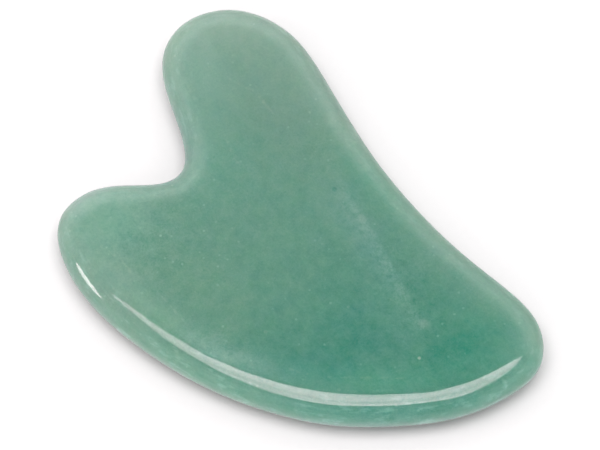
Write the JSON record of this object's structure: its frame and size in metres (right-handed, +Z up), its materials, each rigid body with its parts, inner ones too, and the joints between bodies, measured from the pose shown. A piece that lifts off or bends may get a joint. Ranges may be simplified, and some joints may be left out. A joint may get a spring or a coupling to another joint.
{
  "type": "gua sha scraper",
  "caption": "Flat polished stone massage scraper with a lopsided heart outline, a notch between its lobes, a long blunt tail and a rounded edge all round.",
  "frame": {"origin": "centre of the outline's bounding box, on the lower lapped face", "axes": "+X along the longest extent, towards the blunt tip; +Z up, across the thickness; the notch opens towards -X and -Y"},
  "size_m": [0.08, 0.0526, 0.0065],
  "materials": {
    "aventurine": "polished, translucent green aventurine with pale cloudy veins"
  },
  "bodies": {
    "root": {"scraper_blade": "aventurine"}
  },
  "joints": []
}
